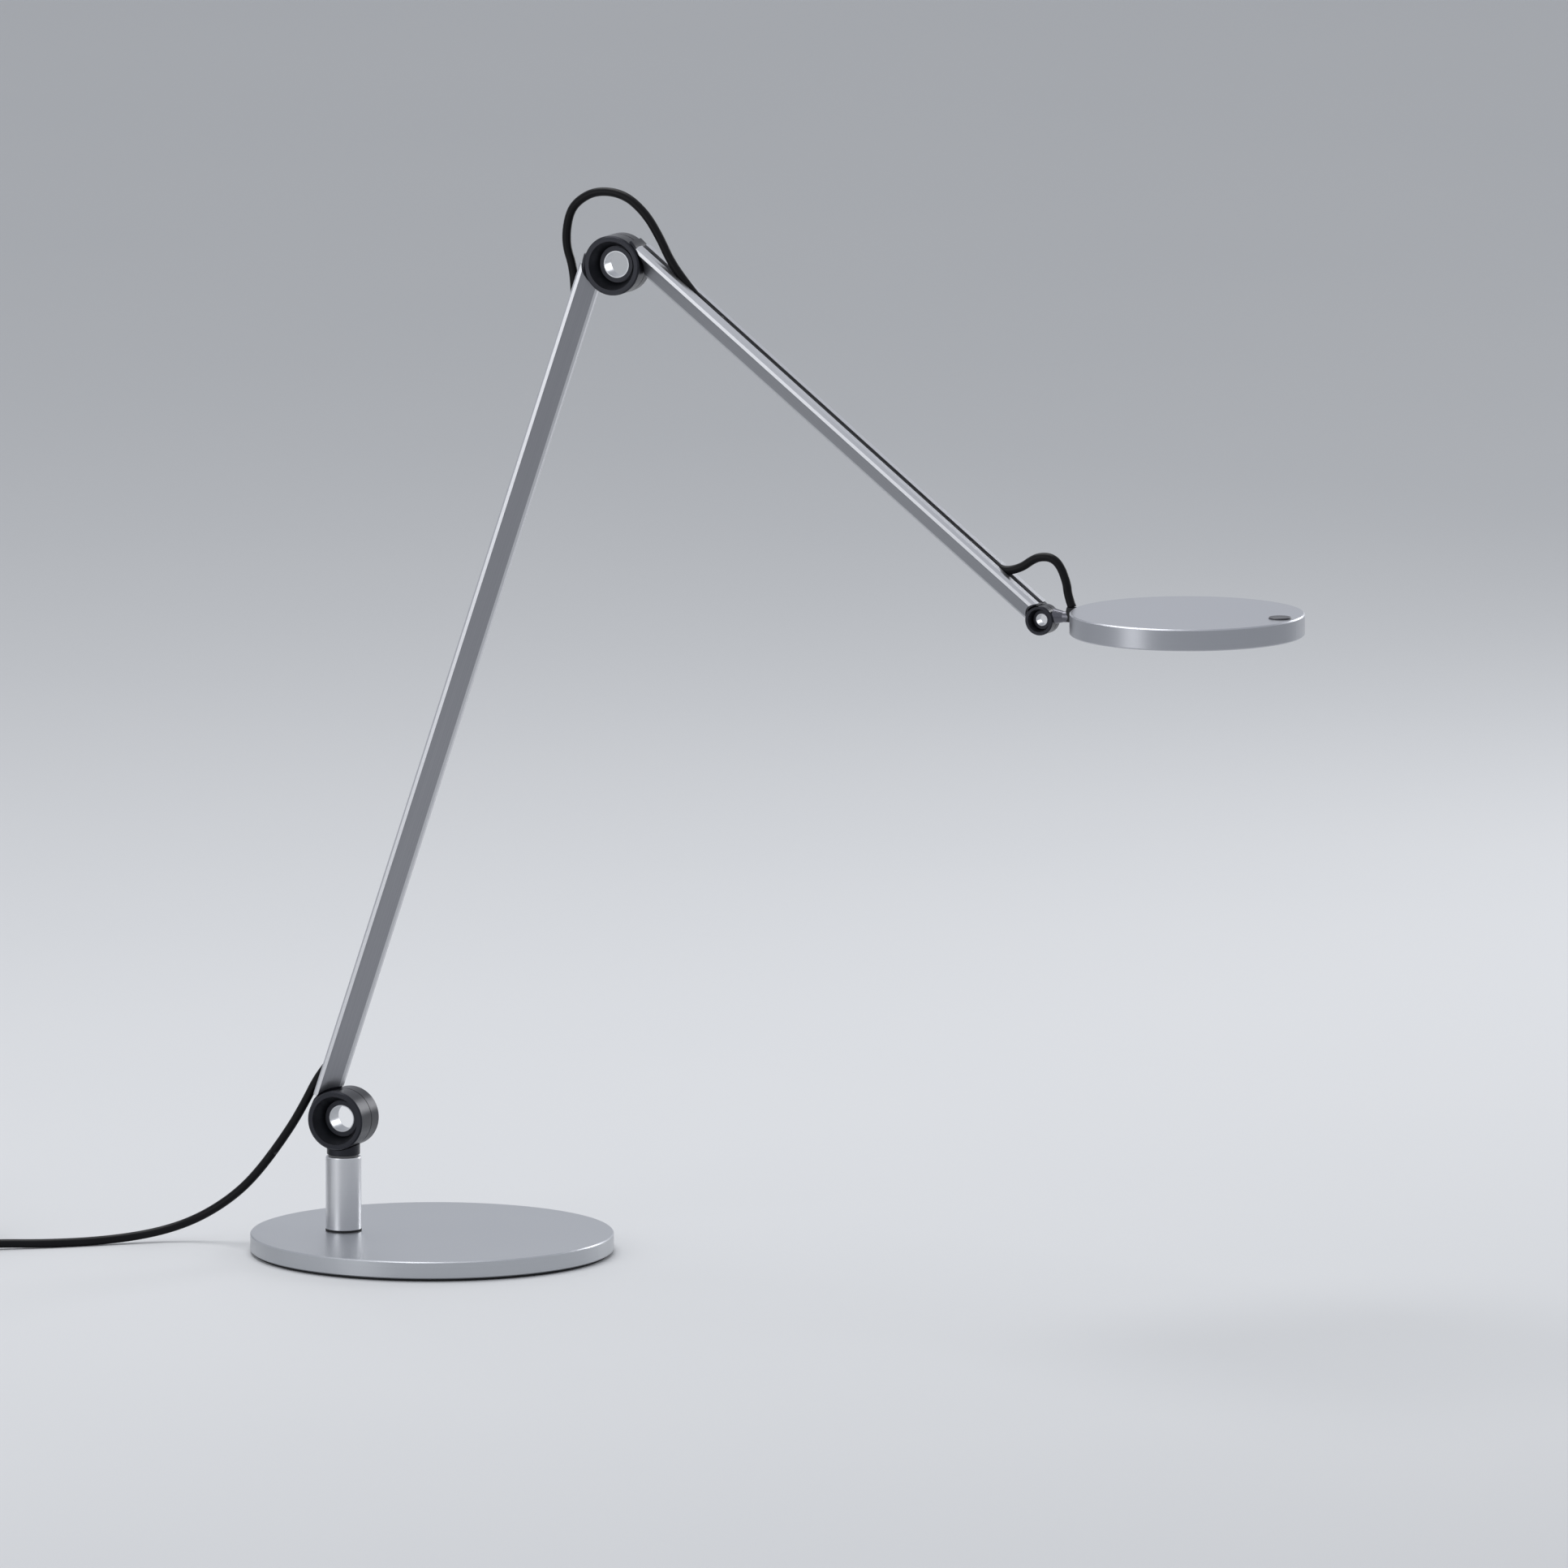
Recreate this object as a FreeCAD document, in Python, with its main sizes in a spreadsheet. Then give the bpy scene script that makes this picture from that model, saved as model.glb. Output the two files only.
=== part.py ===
import FreeCAD, Part

import math
import os

import Sketcher

V = FreeCAD.Vector

# A disc-headed LED desk lamp on three hollow ring joints. Millimetres, +Z up.
# The origin is where the axis of the swivel neck meets the table. +X points from there
# towards the head, and the two arms move in the plane Y = 0; -Y faces the user.

doc = FreeCAD.newDocument("ring_joint_lamp")
sheet = doc.addObject("Spreadsheet::Sheet", "Sizes")


class Size:
    """A number together with the formula that keeps it tied to the sheet."""

    def __init__(self, text, value):
        self.text = text
        self.value = value

    def __add__(self, other):
        return Size(f"({self.text} + {formula(other)})", self.value + number(other))

    __radd__ = __add__

    def __sub__(self, other):
        return Size(f"({self.text} - {formula(other)})", self.value - number(other))

    def __rsub__(self, other):
        return Size(f"({formula(other)} - {self.text})", number(other) - self.value)

    def __mul__(self, other):
        return Size(f"({self.text} * {formula(other)})", self.value * number(other))

    __rmul__ = __mul__

    def __truediv__(self, other):
        return Size(f"({self.text} / {formula(other)})", self.value / number(other))

    def __neg__(self):
        return Size(f"(0 - {self.text})", -self.value)


def number(size):
    return size.value if isinstance(size, Size) else float(size)


def formula(size):
    return size.text if isinstance(size, Size) else repr(float(size))


def cosine(angle):
    return Size(f"cos({angle.text} * 1 deg)", math.cos(math.radians(angle.value)))


def sine(angle):
    return Size(f"sin({angle.text} * 1 deg)", math.sin(math.radians(angle.value)))


# Base and column
base_radius = 100  # rim of the base disc
base_thickness = 9.5  # base disc
base_edge = 0.6  # chamfer round both edges of the base disc
pad_thickness = 1.5  # anti-slip pad under the base
pad_inset = 2.5  # pad edge inside the base rim
base_offset_x = 47.2  # base centre in front of the column
base_offset_y = 13.6  # base centre beside the arm plane
column_radius = 9.8  # outside of the column
column_height = 41.5  # column from base to its top edge
column_bore = 7.6  # radius of the bore for the swivel bush
column_foot = 14  # solid foot of the column under the bore
column_edge = 0.8  # rounding of the column's top edge
gasket_thickness = 0.8  # ring between column and base
base_screw_radius = 4  # screw that holds the column
base_screw_head = 7  # radius of that screw's head
base_head_height = 4.5  # height of that screw's head
fit = 0.05  # radial clearance of turning and sliding fits

# Neck
neck_radius = 9.15  # black neck over the column
neck_gap = 0.9  # swivel gap between column and neck
spigot_radius = 5.6  # spigot that turns in the column
spigot_length = 21  # spigot below the neck
swivel_screw_radius = 2  # screw that holds the spigot down
neck_clearance = 2.3  # lower saddle above the bottom of the neck

# Big ring joints: shoulder and elbow
ring_radius = 16.4  # outside of the shoulder and elbow rings
ring_edge = 0.8  # chamfer of the ring faces
mouth_radius = 13.4  # mouth of the conical recess
floor_radius = 10.1  # floor of the conical recess
axle_radius = 8.1  # outside of the hollow axle
axle_wall = 0.7  # wall of the hollow axle
liner_wall = 0.5  # bright liner in the hollow axle
axle_flange = 1.6  # flange of the axle past its barrel
flange_thickness = 1  # thickness of the axle's flange
washer_thickness = 0.6  # friction washer in the parting line
washer_inset = 1.4  # depth of the groove at the parting line
spring_thickness = 0.8  # wave spring under the ring nut
nut_thickness = 2.2  # ring nut at the back
nut_radius = 11.4  # ring nut at the back
back_recess = 12.2  # recess for the nut at the back
shoulder_depth = 23.5  # shoulder ring from front to back
shoulder_split = 12.9  # front half of the shoulder ring
shoulder_recess = 10.4  # depth of the shoulder's front recess
elbow_depth = 17.3  # elbow ring from front to back
elbow_split = 9.5  # front half of the elbow ring
elbow_recess = 8  # depth of the elbow's front recess
shoulder_web = 4  # web of the rear half at the shoulder
elbow_web = 2.6  # web of the rear half at the elbow

# Small ring joint at the head
tilt_radius = 8.1  # outside of the head's ring joint
tilt_edge = 0.5  # chamfer of its faces
tilt_mouth = 6.3  # mouth of its recess
tilt_floor = 5.2  # floor of its recess
tilt_axle = 3.9  # outside of its hollow axle
tilt_axle_wall = 0.6  # wall of its hollow axle
tilt_liner_wall = 0.4  # liner in its hollow axle
tilt_axle_flange = 1  # flange of its axle past the barrel
tilt_flange = 0.7  # thickness of that flange
tilt_washer = 0.4  # its friction washer
tilt_inset = 0.8  # depth of the groove at its parting line
tilt_spring = 0.5  # its wave spring
tilt_nut = 1.5  # thickness of its ring nut
tilt_nut_radius = 5.4  # its ring nut
tilt_back_recess = 6  # recess for that nut
tilt_depth = 11.2  # head joint from front to back
tilt_split = 6  # front half of the head joint
tilt_recess = 5.1  # depth of its front recess
tilt_web = 2  # web of its rear half

# Arms: one aluminium extrusion, a keel with a cable slot in its outer face
lower_lean_angle = 71.08  # lower arm above the horizontal, degrees
lower_length = 509.6  # shoulder axis to elbow axis
upper_lean_angle = -37.9  # upper arm above the horizontal, degrees
upper_length = 309.9  # elbow axis to head joint, along the arm
upper_shift = 11.75  # head joint above the elbow axis, across the arm
arm_offset = 16.2  # ridges of the arm from the elbow axis
arm_width = 17  # ridge to ridge
arm_facet = 1.8  # upright facet along each ridge
arm_crown = 2.3  # outer face above the middle of the ridges
arm_face = 13.8  # width of the outer face
arm_keel = 10.2  # keel below the middle of the ridges
keel_width = 2.4  # flat along the keel
keel_round = 0.8  # height of the chamfers beside that flat
slot_width = 5.1  # cable slot
slot_depth = 5.2  # cable slot
core_top = 3.9  # top of the hollow core below the ridges
core_height = 4.4  # hollow core
core_top_width = 9  # hollow core, wide side
core_keel_width = 2.4  # hollow core, narrow side
saddle = 1.4  # black saddle between a ring and its arm
saddle_inset = 0.5  # saddle inside the arm's outline
joint_gap = 0.5  # running gap between a saddle and the other ring half
tilt_saddle = 1.2  # saddle at the head's ring joint
tilt_gap = 0.35  # running gap at the head's ring joint
arm_start = 8  # flat end of the lower arm past the shoulder axis
elbow_trim = 5.5  # flat ends of both arms before the elbow axis
arm_end = 5  # flat end of the upper arm before the head joint
tongue_length = 24  # tongue inside the arm, past the saddle
arm_screw_radius = 1.5  # grub screws under the cable
arm_screw_place = 12  # grub screw from the end of its arm

# Head
head_radius = 63.7  # rim of the head
head_thickness = 11.8  # head from top to bottom
head_edge = 0.7  # rounding of the head's edges
head_reach = 84.9  # head joint to the centre of the head
head_drop = 3.24  # bottom of the head below the head joint
head_top_wall = 2.2  # top wall of the head
head_rim_wall = 2.2  # rim wall of the head
diffuser_thickness = 1.2  # opal diffuser
diffuser_recess = 0.5  # diffuser inside the bottom edge
board_radius = 46  # LED board
board_thickness = 1.6  # LED board
chip_size = 3  # side of an LED
chip_height = 0.7  # height of an LED
neck_bar_radius = 3  # bar from the head joint to the head
neck_bar_rise = 2.2  # that bar above the head joint
flare_radius = 4.3  # bar where it meets the joint ring
flare_length = 5.5  # taper from there to the plain bar
bar_spigot = 2.2  # radius of the bar's spigot inside the head
anchor_length = 11  # block that holds the bar inside the head
anchor_width = 14  # same block
anchor_wall = 0.8  # same block, under the spigot
button_radius = 6.1  # touch button on the head
button_flange = 0.9  # flange that keeps the button in its hole
button_margin = 0.2  # that flange inside the rim wall
plunger_stand = 0.15  # switch plunger above its housing
button_rest = 0.45  # plunger room left under the pressed button
button_travel = 0.8  # stroke of the button
button_proud = 0.9  # button above the top of the head
bracket_thickness = 0.8  # steel bracket under the button
bracket_width = 7  # same bracket
switch_size = 4.4  # small switch on that bracket
switch_height = 2.6  # same switch
grommet_radius = 3.3  # rubber cable entry on the neck bar
grommet_place = 17.3  # cable entry from the head joint
grommet_top = 7.6  # cable entry above the head joint
grommet_shoulder = 5.9  # where the cable entry begins to taper

# Cable and power supply
cable_diameter = 4.8  # round black cable
cable_ride = 0.05  # cable above the floor of its slot
slot_hold_shoulder = 46  # cable held in the slot from here
slot_hold_elbow = 46  # cable held in the lower slot up to here
slot_hold_upper = 66  # cable held in the upper slot from here
slot_hold_head = 58  # cable held in the upper slot up to here
coil_radius = 31.5  # middle of the outer turn of the stored lead
coil_turns = 9.304  # turns of the stored lead, ending towards the supply
coil_layers = 4  # layers of the stored lead
coil_lift = 1  # coil above the table, where its tie passes under it
tie_thickness = 0.8  # strap round the coil
tie_width = 7  # strap round the coil
coil_pitch = 5.4  # one turn to the next, and one layer to the next
supply_length = 62  # plug-in power supply
supply_width = 38  # plug-in power supply
supply_height = 28  # plug-in power supply
supply_corner = 5  # rounding of its corners
pin_radius = 2  # plug pins
pin_length = 19  # plug pins
pin_spacing = 19  # plug pins, centre to centre
supply_edge = 2  # rounding of its sides
relief_length = 24  # strain relief on the power supply
relief_radius = 4.4  # strain relief at its root
relief_wall = 0.7  # strain relief round the cable at its thin end
relief_seat = 1.5  # strain relief's root inside the power supply
relief_grooves = 4  # grooves that let the strain relief flex
groove_width = 1.6  # one of those grooves
groove_depth = 0.5  # one of those grooves
tie_room = 0.8  # strap clear of the coil's sides

# Every number above is written into the sheet under its own name, and is used from there.
driving = [(name, value) for name, value in globals().items() if isinstance(value, (int, float))]
for row, (name, value) in enumerate(driving, 1):
    sheet.set(f"A{row}", name.replace("_", " "))
    sheet.set(f"B{row}", str(value))
    sheet.setAlias(f"B{row}", name)
    globals()[name] = Size(f"Sizes.{name}", value)
doc.recompute()

sub_parts = []


def keep(feature, label):
    """Marks a feature as a finished sub-part: its label names its file."""
    feature.Label = label
    sub_parts.append(feature)
    return feature


def bind(feature, path, size):
    """Sets one property, and ties it to the sheet where it has a formula."""
    if isinstance(size, Size):
        feature.setExpression(path, size.text)


def place(feature, x=0, y=0, z=0, lean=None):
    """Puts a feature in the lamp's frame, leaning by an angle about the joint axis."""
    turn = FreeCAD.Rotation(V(0, -1, 0), 0 if lean is None else number(lean))
    feature.Placement = FreeCAD.Placement(V(number(x), number(y), number(z)), turn)
    for path, size in (("x", x), ("y", y), ("z", z)):
        bind(feature, f"Placement.Base.{path}", size)
    if isinstance(lean, Size):
        feature.setExpression("Placement.Rotation.Angle", f"{lean.text} * 1 deg")
    return feature


def profile(body, plane, loops, start=0):
    """Draws closed outlines on one plane of a body, each corner held by two dimensions."""
    drawing = body.newObject("Sketcher::SketchObject", "Outline")
    support = [f for f in body.Origin.OriginFeatures if f.Role == plane][0]
    drawing.AttachmentSupport = (support, [""])
    drawing.MapMode = "FlatFace"
    if isinstance(start, Size):
        drawing.AttachmentOffset = FreeCAD.Placement(V(0, 0, start.value), FreeCAD.Rotation())
        drawing.setExpression("AttachmentOffset.Base.z", start.text)
    for loop in loops:
        first = drawing.GeometryCount
        corners = [V(number(x), number(y), 0) for x, y in loop]
        count = len(corners)
        for i in range(count):
            drawing.addGeometry(Part.LineSegment(corners[i], corners[(i + 1) % count]), False)
        for i in range(count):
            after = first + (i + 1) % count
            drawing.addConstraint(Sketcher.Constraint("Coincident", first + i, 2, after, 1))
        for i, (x, y) in enumerate(loop):
            for kind, size, at in (("DistanceX", x, corners[i].x), ("DistanceY", y, corners[i].y)):
                held = Sketcher.Constraint(kind, -1, 1, first + i, 1, at)
                index = drawing.addConstraint(held)
                if isinstance(size, Size):
                    drawing.setExpression(f"Constraints[{index}]", size.text)
    return drawing


def turned(name, plane, outline):
    """A turned piece: its outline (radius, height) runs round the plane's upright axis."""
    body = doc.addObject("PartDesign::Body", name)
    drawing = profile(body, plane, [outline])
    turn = body.newObject("PartDesign::Revolution", "Turn")
    turn.Profile = drawing
    turn.ReferenceAxis = (drawing, ["V_Axis"])
    turn.Angle = 360
    body.Tip = turn
    return body


def extruded(name, plane, loops, length, start=0):
    """An extruded piece: outlines on a plane, pushed along the plane's normal."""
    body = doc.addObject("PartDesign::Body", name)
    drawing = profile(body, plane, loops, start)
    pad = body.newObject("PartDesign::Pad", "Length")
    pad.Profile = drawing
    pad.Length = number(length)
    bind(pad, "Length", length)
    body.Tip = pad
    return body


def cylinder(name, radius, height, x=0, y=0, z=0, along="Z"):
    """A round bar along one axis, from its start point."""
    bar = doc.addObject("Part::Cylinder", name)
    bar.Radius = number(radius)
    bar.Height = number(height)
    bind(bar, "Radius", radius)
    bind(bar, "Height", height)
    turns = {"Z": FreeCAD.Rotation(), "Y": FreeCAD.Rotation(V(1, 0, 0), -90)}
    turns["X"] = FreeCAD.Rotation(V(0, 1, 0), 90)
    bar.Placement = FreeCAD.Placement(V(number(x), number(y), number(z)), turns[along])
    for path, size in (("x", x), ("y", y), ("z", z)):
        bind(bar, f"Placement.Base.{path}", size)
    return bar


def block(name, length, width, height, x, y, z):
    """A box from its low corner."""
    box = doc.addObject("Part::Box", name)
    for path, size in (("Length", length), ("Width", width), ("Height", height)):
        setattr(box, path, number(size))
        bind(box, path, size)
    box.Placement.Base = V(number(x), number(y), number(z))
    for path, size in (("x", x), ("y", y), ("z", z)):
        bind(box, f"Placement.Base.{path}", size)
    return box


def joined(name, pieces):
    fusion = doc.addObject("Part::MultiFuse", name)
    fusion.Shapes = pieces
    return fusion


def cut(name, base, tool):
    result = doc.addObject("Part::Cut", name)
    result.Base = base
    result.Tool = tool
    return result


def common(name, base, tool):
    result = doc.addObject("Part::Common", name)
    result.Base = base
    result.Tool = tool
    return result


# ---------------------------------------------------------------- base and column

disc_bottom = pad_thickness
disc_top = pad_thickness + base_thickness
foot_bottom = disc_top + gasket_thickness
column_top = disc_top + column_height

pad = turned("Pad", "XZ_Plane", [
    (0, 0), (base_radius - pad_inset, 0), (base_radius - pad_inset, pad_thickness),
    (0, pad_thickness)])
keep(place(pad, base_offset_x, base_offset_y), "base_pad")

disc = turned("Disc", "XZ_Plane", [
    (0, disc_bottom), (base_radius - base_edge, disc_bottom),
    (base_radius, disc_bottom + base_edge), (base_radius, disc_top - base_edge),
    (base_radius - base_edge, disc_top), (0, disc_top)])
place(disc, base_offset_x, base_offset_y)
screw_hole = cylinder("ScrewHole", base_screw_radius + 0.2, base_thickness + 2,
                      z=disc_bottom - 1)
head_hole = cylinder("HeadHole", base_screw_head + 0.3, base_head_height + 1.4,
                     z=disc_bottom - 1)
keep(cut("BaseDisc", disc, joined("BaseHoles", [screw_hole, head_hole])), "base_disc")

screw_top = foot_bottom + column_foot - 3.5
base_screw = turned("BaseScrew", "XZ_Plane", [
    (0, disc_bottom + 2.4), (1.6, disc_bottom + 2.4), (2.3, disc_bottom + 0.3),
    (base_screw_head, disc_bottom + 0.3),
    (base_screw_head, disc_bottom + 0.4 + base_head_height),
    (base_screw_radius, disc_bottom + 0.4 + base_head_height),
    (base_screw_radius, screw_top), (0, screw_top + 0.8)])
keep(base_screw, "base_screw")

gasket = turned("Gasket", "XZ_Plane", [
    (base_screw_radius + 0.4, disc_top), (column_radius + 0.15, disc_top),
    (column_radius + 0.15, foot_bottom), (base_screw_radius + 0.4, foot_bottom)])
keep(gasket, "column_gasket")

column = turned("Column", "XZ_Plane", [
    (base_screw_radius + 0.03, foot_bottom), (column_radius - 0.3, foot_bottom),
    (column_radius, foot_bottom + 0.3), (column_radius, column_top - column_edge),
    (column_radius - column_edge * 0.3, column_top - column_edge * 0.3),
    (column_radius - column_edge, column_top), (column_bore, column_top),
    (column_bore, foot_bottom + column_foot), (0, foot_bottom + column_foot),
    (0, screw_top + 1.2), (base_screw_radius + 0.03, screw_top + 1.2)])
keep(column, "column_tube")

# ---------------------------------------------------------------- swivel

neck_bottom = column_top + neck_gap
shoulder_height = neck_bottom + neck_clearance + saddle + ring_radius
spigot_end = neck_bottom - spigot_length
bush = turned("Bush", "XZ_Plane", [
    (spigot_radius + fit, spigot_end + 0.1), (column_bore, spigot_end + 0.1),
    (column_bore, column_top), (neck_radius - 0.9, column_top),
    (neck_radius - 0.9, neck_bottom), (spigot_radius + fit, neck_bottom)])
keep(bush, "swivel_bush")

retainer = turned("Retainer", "XZ_Plane", [
    (swivel_screw_radius + 0.3, spigot_end - 1.2), (column_bore - 0.5, spigot_end - 1.2),
    (column_bore - 0.5, spigot_end), (swivel_screw_radius + 0.3, spigot_end)])
keep(retainer, "swivel_washer")

swivel_screw = turned("SwivelScrew", "XZ_Plane", [
    (0, spigot_end - 4.2), (3.6, spigot_end - 4.2), (3.6, spigot_end - 1.2),
    (swivel_screw_radius, spigot_end - 1.2), (swivel_screw_radius, spigot_end + 12),
    (0, spigot_end + 12.6)])
keep(swivel_screw, "swivel_screw")

# ---------------------------------------------------------------- ring joints


class RingJoint:
    """One hollow friction joint, built round its axis (Y) with its middle at the origin."""

    def __init__(self, radius, edge, mouth, floor, axle, wall, liner, flange, flange_t,
                 washer, inset, spring, nut, nut_r, back, depth, split, recess, web,
                 saddle_thickness, gap):
        self.radius = radius
        self.saddle = radius + saddle_thickness
        self.room = radius + gap
        self.front = -depth / 2
        self.rear = depth / 2
        self.part_front = split - depth / 2
        self.part_rear = self.part_front + washer
        self.seat = recess - depth / 2
        self.web_end = self.part_rear + web
        self.edge = edge
        self.mouth = mouth
        self.floor = floor
        self.axle = axle
        self.bore = axle - wall
        self.eye = axle - wall - liner
        self.flange = axle + flange
        self.flange_t = flange_t
        self.washer_edge = radius - inset
        self.spring_end = self.web_end + spring
        self.nut_end = self.web_end + spring + nut
        self.nut_r = nut_r
        self.back = back

    def front_half(self, name):
        """Outer ring with a conical recess down to the seat of the axle's flange."""
        return turned(name, "XY_Plane", [
            (self.axle + fit, self.part_front), (self.radius, self.part_front),
            (self.radius, self.front + self.edge), (self.radius - self.edge, self.front),
            (self.mouth, self.front), (self.floor, self.seat),
            (self.axle + fit, self.seat)])

    def rear_half(self, name):
        """Outer ring with a round recess for the spring and the nut."""
        return turned(name, "XY_Plane", [
            (self.axle + fit, self.part_rear), (self.radius, self.part_rear),
            (self.radius, self.rear - self.edge), (self.radius - self.edge, self.rear),
            (self.back, self.rear), (self.back, self.web_end),
            (self.axle + fit, self.web_end)])

    def hardware(self, prefix, x, z):
        """Axle, liner, friction washer, wave spring and ring nut, as one stack."""
        axle = turned(prefix + "Axle", "XY_Plane", [
            (self.bore, self.seat - self.flange_t), (self.flange, self.seat - self.flange_t),
            (self.flange, self.seat), (self.axle, self.seat), (self.axle, self.nut_end),
            (self.bore, self.nut_end)])
        liner = turned(prefix + "Liner", "XY_Plane", [
            (self.eye, self.seat - self.flange_t), (self.bore, self.seat - self.flange_t),
            (self.bore, self.nut_end), (self.eye, self.nut_end)])
        washer = turned(prefix + "Washer", "XY_Plane", [
            (self.axle + 0.15, self.part_front), (self.washer_edge, self.part_front),
            (self.washer_edge, self.part_rear - 0.02), (self.axle + 0.15, self.part_rear - 0.02)])
        spring = turned(prefix + "Spring", "XY_Plane", [
            (self.axle + 0.1, self.web_end), (self.nut_r - 0.3, self.web_end),
            (self.nut_r - 0.3, self.spring_end - 0.02),
            (self.axle + 0.1, self.spring_end - 0.02)])
        nut_body = turned(prefix + "NutBody", "XY_Plane", [
            (self.axle, self.spring_end), (self.nut_r, self.spring_end),
            (self.nut_r, self.nut_end - 0.3), (self.nut_r - 0.3, self.nut_end),
            (self.axle, self.nut_end)])
        slot = block(prefix + "NutSlot", self.nut_r * 2 + 2, 2, 1.2,
                     -self.nut_r - 1, self.nut_end - 0.8, -0.6)
        nut = cut(prefix + "Nut", nut_body, slot)
        pieces = ((axle, "axle"), (liner, "liner"), (washer, "friction_washer"),
                  (spring, "wave_spring"), (nut, "ring_nut"))
        for piece, what in pieces:
            keep(place(piece, x, 0, z), f"{prefix.lower()}_{what}")


shoulder = RingJoint(ring_radius, ring_edge, mouth_radius, floor_radius, axle_radius,
                     axle_wall, liner_wall, axle_flange, flange_thickness,
                     washer_thickness, washer_inset, spring_thickness, nut_thickness,
                     nut_radius, back_recess, shoulder_depth, shoulder_split,
                     shoulder_recess, shoulder_web, saddle, joint_gap)
elbow = RingJoint(ring_radius, ring_edge, mouth_radius, floor_radius, axle_radius,
                  axle_wall, liner_wall, axle_flange, flange_thickness,
                  washer_thickness, washer_inset, spring_thickness, nut_thickness,
                  nut_radius, back_recess, elbow_depth, elbow_split, elbow_recess,
                  elbow_web, saddle, joint_gap)
tilt = RingJoint(tilt_radius, tilt_edge, tilt_mouth, tilt_floor, tilt_axle,
                 tilt_axle_wall, tilt_liner_wall, tilt_axle_flange, tilt_flange,
                 tilt_washer, tilt_inset, tilt_spring, tilt_nut, tilt_nut_radius,
                 tilt_back_recess, tilt_depth, tilt_split, tilt_recess, tilt_web,
                 tilt_saddle, tilt_gap)

elbow_x = lower_length * cosine(lower_lean_angle)
elbow_z = shoulder_height + lower_length * sine(lower_lean_angle)
head_x = elbow_x + upper_length * cosine(upper_lean_angle) - upper_shift * sine(upper_lean_angle)
head_z = elbow_z + upper_length * sine(upper_lean_angle) + upper_shift * cosine(upper_lean_angle)

shoulder.hardware("Shoulder", 0, shoulder_height)
elbow.hardware("Elbow", elbow_x, elbow_z)
tilt.hardware("Tilt", head_x, head_z)

# The neck carries the rear half of the shoulder ring, and passes under the front half.
neck_post = turned("NeckPost", "XZ_Plane", [
    (0, spigot_end), (spigot_radius, spigot_end), (spigot_radius, neck_bottom),
    (neck_radius - 0.4, neck_bottom), (neck_radius, neck_bottom + 0.4),
    (neck_radius, shoulder_height - ring_radius / 2), (0, shoulder_height - ring_radius / 2)])
neck_tap = cylinder("NeckTap", swivel_screw_radius + 0.03, 14, z=spigot_end - 1)
inner = cylinder("NeckEye", ring_radius - 1.2, shoulder_depth + 2, y=shoulder.front - 1,
                 z=shoulder_height, along="Y")
front_room = cylinder("NeckRoom", shoulder.room,
                      shoulder.part_rear - shoulder.front + 2, y=shoulder.front - 2,
                      z=shoulder_height, along="Y")
neck_cut = cut("NeckCut", neck_post, joined("NeckTools", [neck_tap, inner, front_room]))
rear = place(shoulder.rear_half("ShoulderRear"), 0, 0, shoulder_height)
keep(joined("Neck", [neck_cut, rear]), "swivel_neck")


# ---------------------------------------------------------------- arms

def arm_outline(offset, inset=0, slot=True):
    """Section of the extrusion, (across, out): a keel with two ridges and an outer face."""
    top = offset + arm_crown - inset
    right = [(arm_face / 2 - inset, top),
             (arm_width / 2 - inset, offset + arm_facet / 2 - inset / 2),
             (arm_width / 2 - inset, offset - arm_facet / 2),
             (keel_width / 2 + 0.6 - inset / 2, offset - arm_keel + keel_round + inset),
             (keel_width / 2 - inset / 2, offset - arm_keel + inset)]
    left = [(-x, y) for x, y in reversed(right)]
    if not slot:
        return right + left
    floor = offset + arm_crown - slot_depth
    return ([(slot_width / 2, top)] + right + left
            + [(-slot_width / 2, top), (-slot_width / 2, floor), (slot_width / 2, floor)])


def core_outline(offset, play=0):
    """Section of the hollow core, or of the tongue that fills it with a little play."""
    high = offset - core_top - play
    low = offset - core_top - core_height + play
    wide = core_top_width / 2 - play
    narrow = core_keel_width / 2 - play
    return [(wide, high), (narrow, low), (-narrow, low), (-wide, high)]


def arm(name, length, lean, x, z, near, far, far_shift, near_end, far_end):
    """An extrusion whose ends are milled round its two rings, with its grub screw holes."""
    bar = extruded(name + "Bar", "YZ_Plane", [arm_outline(arm_offset), core_outline(arm_offset)],
                   length - near_end - far_end, start=near_end)
    reach = arm_width + 20
    near_cut = cylinder(name + "Near", near.saddle, reach, y=-reach / 2, along="Y")
    far_cut = cylinder(name + "Far", far.saddle, reach, x=length, y=-reach / 2,
                       z=far_shift, along="Y")
    floor = arm_offset + arm_crown - slot_depth
    holes = [cylinder(name + "Hole", arm_screw_radius, 4, x=at, z=floor - 3)
             for at in screw_places(length, near, far)]
    tools = joined(name + "Tools", [near_cut, far_cut] + holes)
    return place(cut(name, bar, tools), x, 0, z, lean)


def screw_places(length, near, far):
    """How far along an arm its two grub screws sit."""
    return (near.saddle + arm_screw_place, length - far.saddle - arm_screw_place)


def arm_screws(name, length, lean, x, z, near, far):
    """Two grub screws from the slot's floor down onto the tongues."""
    floor = arm_offset + arm_crown - slot_depth
    low = arm_offset - core_top
    pins = [cylinder(name + "Pin", arm_screw_radius, floor - low - 0.1, x=at, z=low)
            for at in screw_places(length, near, far)]
    return place(joined(name, pins), x, 0, z, lean)


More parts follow.
